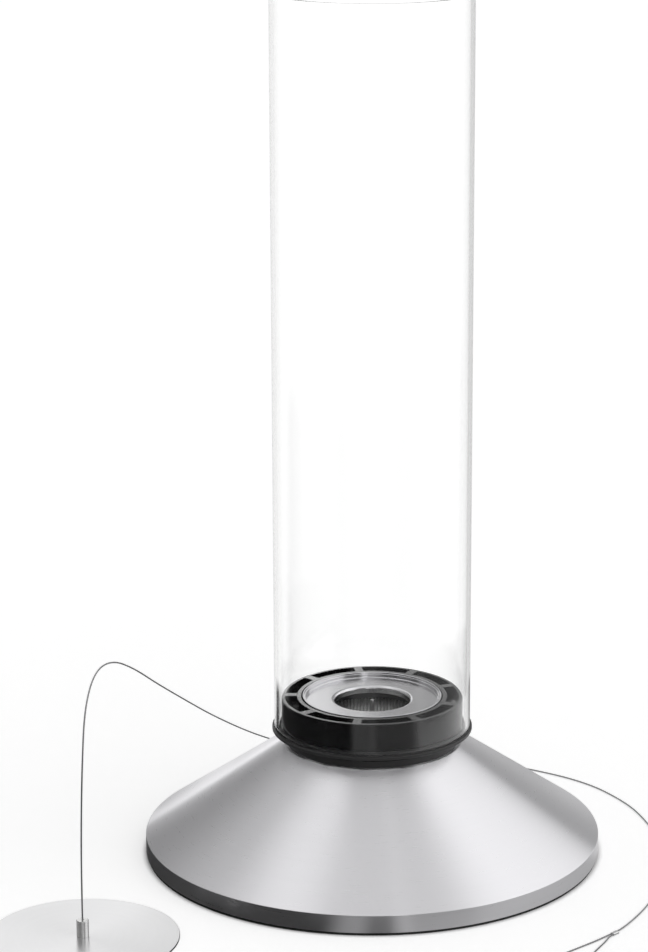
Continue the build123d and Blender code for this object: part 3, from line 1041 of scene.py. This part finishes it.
        rings = [
            circle_ring(bore, low, sides),
            body(low, across_corners / 2 - inset),
            body(low + edge, across_corners / 2),
            body(high - edge, across_corners / 2),
            body(high, across_corners / 2 - inset),
            circle_ring(bore + lead, high, sides),
            circle_ring(bore, high - lead, sides),
        ]
        return make_object("nut", *loft(rings, closed=True), 20)

    def build(self, shop: Workshop) -> None:
        """Builds and dresses the burner.

        Args:
            shop: The workshop.
        """
        shop.dress(CAN, "burner_can")
        shop.dress(MESH_RING, "mesh_ring")
        shop.add(self.lid(), LID, "burner", "lid_steel", "burner_lid")
        shop.add(self.fleece(), FLEECE, "burner", "fleece_grey", "wick_fleece")
        shop.add(self.mesh(), MESH, "burner", "mesh_steel", "mesh_screen")
        shop.add(self.rod_piece(), PIN, "burner", "pin_steel", "centre_pin")
        shop.add(self.nut_piece(), PIN, "burner", "pin_steel", "pin_nut")


# From the ferrule over the arch, behind the cone and round its right side to the sleeve.
ROPE_ROUTE: list[Point] = [
    (-0.16417, -0.14021, 0.0112),
    (-0.16417, -0.14021, 0.038),
    (-0.1635, -0.1395, 0.072),
    (-0.1625, -0.1355, 0.105),
    (-0.1615, -0.1235, 0.1325),
    (-0.1575, -0.1015, 0.1465),
    (-0.150, -0.071, 0.143),
    (-0.1405, -0.035, 0.126),
    (-0.130, 0.005, 0.103),
    (-0.117, 0.0465, 0.079),
    (-0.1005, 0.087, 0.0535),
    (-0.076, 0.1225, 0.0285),
    (-0.0495, 0.1505, 0.010),
    (-0.017, 0.165, 0.0008),
    (0.0195, 0.1655, 0.00055),
    (0.058, 0.154, 0.00055),
    (0.096, 0.138, 0.00055),
    (0.1374, 0.110, 0.00055),
    (0.1607, 0.073, 0.00055),
    (0.1705, 0.0425, 0.00055),
    (0.178, -0.0005, 0.00055),
    (0.1757, -0.050, 0.00055),
    (0.1627, -0.0877, 0.00055),
    (0.1546, -0.107, 0.0006),
    (0.14272, -0.12911, 0.00085),
    (0.13931, -0.13277, 0.00085),
]


# Along the sleeve, across it, and below its level, in millimetres from its front end.
LOOP_PLAN: list[Point] = [
    (0, 0.75, 0), (7, 0.75, 0), (15, 1.3, 0.3), (25, 2.1, 0.3), (38, 3.0, 0.3), (51, 4.2, 0.3),
    (62, 2.6, 0.3), (69, -3, 0.3), (69.5, -11, 0.3), (63, -17.5, 0.3), (52, -18.2, 0.3),
    (40, -14, 0.3), (27, -8.2, 0.3), (10, -3.4, 0.3), (3.5, -0.75, 0), (0, -0.75, 0),
]


@dataclass
class WireRope:
    """Six wire strands laid round a core, along a smooth route."""

    name: str
    route: list[Point]
    diameter: float = 1.0 * MM
    lay: float = 6.5 * MM
    steps: int = 14
    sides: int = 6
    swell: float = 1.02

    def line(self) -> np.ndarray:
        """Reads the centreline from the route's spline.

        Returns:
            Points down the middle of the rope, evenly spaced.
        """
        data = bpy.data.curves.new(f"{self.name}_route", "CURVE")
        data.dimensions = "3D"
        spline = data.splines.new("NURBS")
        spline.points.add(len(self.route) - 1)
        for place, point in zip(spline.points, self.route):
            place.co = (*point, 1.0)
        spline.order_u = 3
        spline.use_endpoint_u = True
        spline.resolution_u = 24
        holder = bpy.data.objects.new(f"{self.name}_route", data)
        mesh = bpy.data.meshes.new_from_object(holder)
        points = np.array([v.co for v in mesh.vertices], float)
        bpy.data.objects.remove(holder)
        bpy.data.meshes.remove(mesh)
        bpy.data.curves.remove(data)
        runs = np.linalg.norm(np.diff(points, axis=0), axis=1)
        along = np.concatenate([[0], np.cumsum(runs)])
        even = np.linspace(0, along[-1], int(along[-1] / (self.lay / self.steps)) + 1)
        return np.stack([np.interp(even, along, points[:, axis]) for axis in range(3)], axis=1)

    def build(self) -> tuple[bpy.types.Object, np.ndarray]:
        """Lays six strands round a seventh.

        Returns:
            The rope's mesh and its centreline.
        """
        line = self.line()
        ahead = np.gradient(line, axis=0)
        ahead /= np.linalg.norm(ahead, axis=1)[:, None]
        side = np.cross(ahead[0], (0.0, 1.0, 0.13))
        beside = np.empty_like(line)
        for index, way in enumerate(ahead):
            side = side - way * (side @ way)
            side /= np.linalg.norm(side)
            beside[index] = side
        above = np.cross(ahead, beside)
        step = np.linalg.norm(line[1] - line[0])
        twist = np.arange(len(line)) * step * TURN / self.lay
        strand = self.diameter / 6
        angle = np.arange(self.sides) * TURN / self.sides
        section = np.cos(angle)[:, None] * beside[:, None] + np.sin(angle)[:, None] * above[:, None]
        strands = []
        for number in range(7):
            reach = 2 * strand if number < 6 else 0.0
            turn = (twist + number * TURN / 6)[:, None]
            centre = line + reach * (np.cos(turn) * beside + np.sin(turn) * above)
            strands.append(list(centre[:, None] + strand * self.swell * section))
        return make_object(self.name, *lofts(strands), 60), line


@dataclass
class Extinguisher:
    """The disc with its ferrule, wire rope, crimp sleeve and hand loop."""

    centre: Point = (-164.17 * MM, -140.21 * MM, 0.0)
    radius: float = 55.0 * MM
    thick: float = 1.2 * MM
    hole: float = 1.7 * MM
    sink: float = 3.1 * MM
    sink_depth: float = 1.0 * MM
    ferrule: float = 3.5 * MM
    ferrule_height: float = 10.0 * MM
    dish: float = 0.9 * MM
    dish_depth: float = 0.5 * MM
    sleeve_back: Point = (139.86 * MM, -133.28 * MM, 0.85 * MM)
    sleeve_bearing: float = 227.0
    sleeve_length: float = 5.0 * MM
    sleeve_width: float = 2.9 * MM
    sleeve_height: float = 1.7 * MM
    sleeve_edge: float = 0.2 * MM
    crimps: tuple[float, float] = (0.3, 0.7)
    crimp_width: float = 0.07
    crimp_depth: float = 0.1 * MM

    def along(self) -> Vector:
        """The way that the sleeve points, towards the loop."""
        bearing = math.radians(self.sleeve_bearing)
        return Vector((math.cos(bearing), math.sin(bearing), 0))

    def loop_route(self) -> list[Point]:
        """Works out where the hand loop lies.

        Returns:
            Its route's points, in the frame.
        """
        along = self.along()
        across = Vector((along.y, -along.x, 0))
        start = Vector(self.sleeve_back) + along * self.sleeve_length
        return [tuple(start + along * (u * MM) + across * (v * MM) - Vector((0, 0, w * MM))) for u, v, w in LOOP_PLAN]

    def disc(self) -> bpy.types.Object:
        """Turns the disc with a rounded edge and its countersunk hole.

        Returns:
            The disc.
        """
        corners = [
            (self.sink, 0, 0),
            (self.radius, 0, 0.25 * MM),
            (self.radius, self.thick, 0.3 * MM),
            (self.hole, self.thick, 0),
            (self.hole, self.sink_depth, 0),
        ]
        made = turned("disc", rounded(corners))
        made.location = self.centre
        return made

    def ferrule_piece(self) -> bpy.types.Object:
        """Turns the ferrule, its top dished round the rope.

        Returns:
            The ferrule.
        """
        r, low, high = self.ferrule, self.thick, self.thick + self.ferrule_height
        corners = [
            (0, low, 0),
            (r, low, 0.2 * MM),
            (r, high, 0.45 * MM),
            (self.dish, high, 0.1 * MM),
            (self.dish - 0.3 * MM, high - self.dish_depth, 0),
            (0, high - self.dish_depth, 0),
        ]
        made = turned("ferrule", rounded(corners), 96)
        made.location = self.centre
        return made

    def sleeve(self) -> bpy.types.Object:
        """Builds the oval sleeve, pressed in at its crimps.

        Returns:
            The sleeve.
        """
        along, sides = self.along(), 48
        across = np.array((along.y, -along.x, 0))
        start = Vector(self.sleeve_back)
        round_x, round_z, _ = circle_ring(1.0, 0.0, sides).T
        rings = []
        for share in np.linspace(0, 1, 41):
            end = min(share, 1 - share) * self.sleeve_length
            inset = max(0.0, self.sleeve_edge - end) * 0.8
            dents = sum(math.exp(-(((share - crimp) / self.crimp_width) ** 2)) for crimp in self.crimps)
            half = self.sleeve_height / 2
            flat = self.sleeve_width / 2 - inset - half
            x = round_x * (half - inset) + np.sign(round_x) * flat * np.minimum(1, np.abs(round_x) * 6)
            z = round_z * (half - inset - self.crimp_depth * dents)
            middle = start + along * (share * self.sleeve_length)
            rings.append(np.array(middle) + x[:, None] * across + z[:, None] * (0, 0, 1))
        return make_object("sleeve", *loft(rings), 40)

    def build(self, shop: Workshop) -> None:
        """Builds the rope and the pieces on it.

        Args:
            shop: The workshop.
        """
        body = "extinguisher"
        sleeve = shop.add(self.sleeve(), SLEEVE, body, "sleeve_metal", "crimp_sleeve")
        rope, line = WireRope("rope", ROPE_ROUTE).build()
        shop.add(rope, ROPE, body, "rope_steel", "wire_rope")
        route = self.loop_route()
        loop, line = WireRope("loop", route).build()
        shop.add(loop, ROPE, body, "rope_steel", "rope_loop")
        shop.add(self.disc(), DISC, body, "disc_steel", "extinguisher_disc")
        shop.add(self.ferrule_piece(), FERRULE, body, "ferrule_steel", "rope_ferrule")
        screw = Screws(
            circle=0, count=1, start=0, face=0, head=2.9 * MM, head_depth=1.0 * MM,
            shank=1.45 * MM, length=6 * MM, socket=2.0 * MM, socket_depth=0.8 * MM,
        )
        made = screw.build("ferrule_screw_hex")
        made.location = self.centre
        shop.add(made, FASTENER, body, "screw_steel", "ferrule_screw")


# Studio


@dataclass(frozen=True)
class Panel:
    """A soft-edged patch of light or dark, which only metal and glass mirror.

    Left and right are azimuths in degrees: 0 is behind the object, 90 is its right and -90 its
    left. Low and high are degrees over the horizon on the walls, and millimetres from the
    object's axis on the floor. Each soft value is half the width of that side's fade.
    """

    level: float
    left: float
    right: float
    low: float
    high: float
    soft_left: float
    soft_right: float
    soft_low: float
    soft_high: float


@dataclass
class Studio:
    """Floor, reflected walls, lamp and camera."""

    eye: Point = (0.0, -1.803497, 0.717289)
    pitch: float = 15.0022
    focal: float = 3156.724
    picture: tuple[int, int] = (648, 952)
    middle: float = 372.11
    sensor: float = 36.0
    room: float = 12.0
    shell: float = 10.0
    floor_white: float = 0.9
    floor_glow: float = 0.37
    # Painted contact shadow: the floor's glow is nothing at the first radius and full at the second, so the band
    # between renders darker.
    painted_shadow_edge: tuple[float, float] = (136.8 * MM, 141 * MM)
    floor_through: float = 0.5
    world_light: float = 0.576
    key_from: Point = (0.6, -0.5, 1.0)
    key_spread: float = 70
    key_strength: float = 0.55
    wall_level: float = 0.9
    panels: tuple[Panel, ...] = (
        Panel(0.5, 135, 225, 12, 38, 12, 12, 6, 8),
        Panel(0.1, 128, 160, 8, 30, 5, 2, 4, 4),
        Panel(1.8, 162, 170, 8, 30, 1.5, 1.5, 4, 4),
        Panel(1.45, -115, -45, 58.5, 78.5, 14, 14, 12, 5),
        Panel(1.4, 35.5, 125, 8, 62, 1, 12, 6, 10),
        Panel(0.32, -85, -19.7, -90, 38, 10, 1, 4, 26),
        Panel(0.24, -36, -19.7, -90, 34, 5, 1, 4, 16),
        Panel(0.18, -90, -19.7, -90, 6, 6, 1, 4, 8),
        Panel(0.45, -8, 36.5, -90, 52, 2, 1, 4, 8),
        Panel(0.42, 2.5, 14, 5, 42, 2, 6, 4, 8),
        Panel(1.35, -20.2, -2, -30, 46, 1, 3.5, 8, 8),
        Panel(1.1, -13, -4.6, 5, 46, 1, 0.6, 4, 6),
        Panel(0.18, 150, 205, -90, 8, 12, 10, 4, 10),
        Panel(0.03, -165, -85, -90, 34, 10, 10, 4, 12),
    )
    floor_level: float = 0.92
    floor_panels: tuple[Panel, ...] = (
        Panel(0.72, 5, 80, 340, 9000, 8, 10, 30, 1),
        Panel(0.3, 178, 212, 0, 1300, 8, 8, 1, 200),
        Panel(0.2, 128, 180, 0, 1300, 10, 8, 1, 200),
        Panel(0.02, -157, -68, 0, 1300, 5, 8, 1, 200),
        Panel(0.02, -157, -34, 0, 340, 5, 5, 1, 20),
        Panel(0.75, 42, 124, 0, 340, 6, 8, 1, 20),
        Panel(0.4, 42, 124, 325, 480, 6, 8, 12, 20),
        Panel(0.5, 8, 36, 0, 340, 8, 6, 1, 20),
        Panel(0.02, -60, -8, 0, 200, 5, 4, 1, 20),
        Panel(0.3, 12, 36, 0, 200, 6, 4, 1, 20),
        Panel(0.3, 6, 27, 200, 340, 6, 4, 20, 20),
        Panel(0.02, -170, -150, 0, 200, 4, 4, 1, 20),
        Panel(0.08, 174, 182, 0, 200, 3, 3, 1, 20),
        Panel(0.45, 96, 173, 0, 200, 6, 3, 1, 20),
    )

    def camera(self) -> None:
        """Sets the camera to the photograph's own view."""
        wide, tall = self.picture
        data = bpy.data.cameras.new("camera")
        data.sensor_width = self.sensor
        data.lens = self.focal * self.sensor / tall
        data.shift_x = (wide / 2 - self.middle) / tall
        data.clip_start, data.clip_end = 0.05, 100
        camera = bpy.data.objects.new("camera", data)
        camera.location = self.eye
        camera.rotation_euler = (math.radians(90 - self.pitch), 0, 0)
        bpy.context.scene.collection.objects.link(camera)
        bpy.context.scene.camera = camera
        log.info("camera at %s, %.2f mm", self.eye, data.lens)

    def patched(
        self, nodes: Nodes, level: Value, panels: tuple[Panel, ...], azimuth: Socket, height: Socket
    ) -> Value:
        """Lays panels over a plain level.

        Args:
            nodes: The material's nodes.
            level: The plain level.
            panels: The panels, the last one on top.
            azimuth: The azimuth of the shaded point.
            height: Its height, in the panels' own measure.

        Returns:
            The level with its panels.
        """
        for panel in panels:
            middle, half = (panel.left + panel.right) / 2, (panel.right - panel.left) / 2
            off = nodes.maths("WRAP", nodes.maths("SUBTRACT", azimuth, middle), 180.0, -180.0)
            share = None
            for place, edge, soft, side in (
                (off, -half, panel.soft_left, 1),
                (off, half, panel.soft_right, -1),
                (height, panel.low, panel.soft_low, 1),
                (height, panel.high, panel.soft_high, -1),
            ):
                inside = nodes.ramp(place, edge - soft, edge + soft, int(side < 0), int(side > 0), True)
                share = inside if share is None else nodes.maths("MULTIPLY", share, inside)
            under = nodes.maths("MULTIPLY", level, nodes.maths("SUBTRACT", 1.0, share))
            level = nodes.maths("ADD", under, nodes.maths("MULTIPLY", share, panel.level))
        return level

    def floor(self) -> None:
        """Lays a white floor that keeps the object's shadow, with a painted contact shadow in a thin dark band round
        the cone's foot.
        """
        size = self.room
        corners = np.array([(-size, -size, 0), (size, -size, 0), (size, size, 0), (-size, size, 0)])
        floor = make_object("floor", corners, [(0, 1, 2, 3)])
        nodes = Nodes("floor_white")
        rays = nodes.add("LightPath").outputs
        x, y, _ = nodes.parts(nodes.place())
        reach = nodes.reach(x, y)
        # Painted contact shadow: the glow fades out near the foot, so the floor there renders darker than elsewhere.
        glow_past_painted_shadow = nodes.ramp(reach, *self.painted_shadow_edge, 0.0, self.floor_glow, True)
        seen = nodes.maths("MULTIPLY", rays["Is Camera Ray"], glow_past_painted_shadow)
        through = nodes.maths("MULTIPLY", rays["Is Transmission Ray"], self.floor_through)
        glow = nodes.glow(nodes.maths("MAXIMUM", seen, through))
        paper = nodes.made(nodes.add("BsdfDiffuse"), opaque((self.floor_white,) * 3))
        lit = nodes.made(nodes.add("AddShader"), paper, glow)
        height = nodes.maths("DIVIDE", reach, MM)
        level = self.patched(nodes, self.floor_level, self.floor_panels, nodes.azimuth(x, y), height)
        mirrored = nodes.maths("GREATER_THAN", rays["Glossy Depth"], 0.5)
        both = nodes.made(nodes.add("MixShader"), mirrored, lit, nodes.glow(level))
        floor.data.materials.append(nodes.shade(both))
        log.info("floor laid")

    def walls(self) -> None:
        """Builds the walls that metal and glass mirror: a shell that only glossy rays see."""
        count, rows = 64, 32
        rings = []
        for row in range(1, rows):
            angle = math.pi * row / rows
            rings.append(circle_ring(self.shell * math.sin(angle), -self.shell * math.cos(angle), count))
        shell = make_object("walls", *loft(rings))
        nodes = Nodes("walls_light")
        direction = nodes.made(nodes.add("VectorMath", operation="NORMALIZE"), nodes.place())
        x, y, z = nodes.parts(direction)
        height = nodes.maths("DEGREES", nodes.maths("ARCSINE", z))
        level = self.patched(nodes, self.wall_level, self.panels, nodes.azimuth(x, y), height)
        rays = nodes.add("LightPath").outputs
        unmirrored = nodes.maths("LESS_THAN", rays["Glossy Depth"], 0.5)
        direct = nodes.maths("MULTIPLY", rays["Is Transmission Ray"], unmirrored)
        clear = nodes.add("BsdfTransparent").outputs[0]
        both = nodes.made(nodes.add("MixShader"), direct, nodes.glow(level), clear)
        shell.data.materials.append(nodes.shade(both))
        shell.visible_camera = False
        shell.visible_diffuse = False
        shell.visible_shadow = False
        shell.visible_volume_scatter = False
        log.info("walls built with %d panels", len(self.panels))

    def world(self) -> None:
        """Lights the set evenly all round. Camera, glass and mirror rays see plain white."""
        nodes = Nodes("studio", world=True)
        rays = nodes.add("LightPath").outputs
        seen = nodes.maths("MAXIMUM", rays["Is Camera Ray"], rays["Is Transmission Ray"])
        seen = nodes.maths("MAXIMUM", seen, rays["Is Glossy Ray"])
        strength = nodes.ramp(seen, 0, 1, self.world_light, 1.0)
        white = nodes.made(nodes.add("Background"), opaque((1.0, 1.0, 1.0)), strength)
        bpy.context.scene.world = nodes.shade(white)

    def key(self) -> None:
        """Adds soft light from the upper right, equal over the whole floor."""
        data = bpy.data.lights.new("key", "SUN")
        data.angle, data.energy = math.radians(self.key_spread), self.key_strength
        lamp = bpy.data.objects.new("key", data)
        lamp.rotation_euler = Vector(self.key_from).to_track_quat("Z", "Y").to_euler()
        lamp.visible_glossy = False
        bpy.context.scene.collection.objects.link(lamp)
        log.info("key lamp, strength %.2f", self.key_strength)

    def build(self) -> None:
        """Sets up the whole studio."""
        self.camera()
        self.floor()
        self.walls()
        self.world()
        self.key()
        bpy.context.scene.view_settings.view_transform = "Standard"


def main() -> None:
    """Builds the studio and every piece, and reports them."""
    logging.basicConfig(level=logging.INFO, format="%(name)s: %(message)s")
    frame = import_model()
    shop = Workshop(frame["nodes"])
    Studio().build()
    for part in (Extinguisher(), Base(), Chimney(), Burner()):
        part.build(shop)
        log.info("%s built", type(part).__name__)


if __name__ == "__main__":
    main()
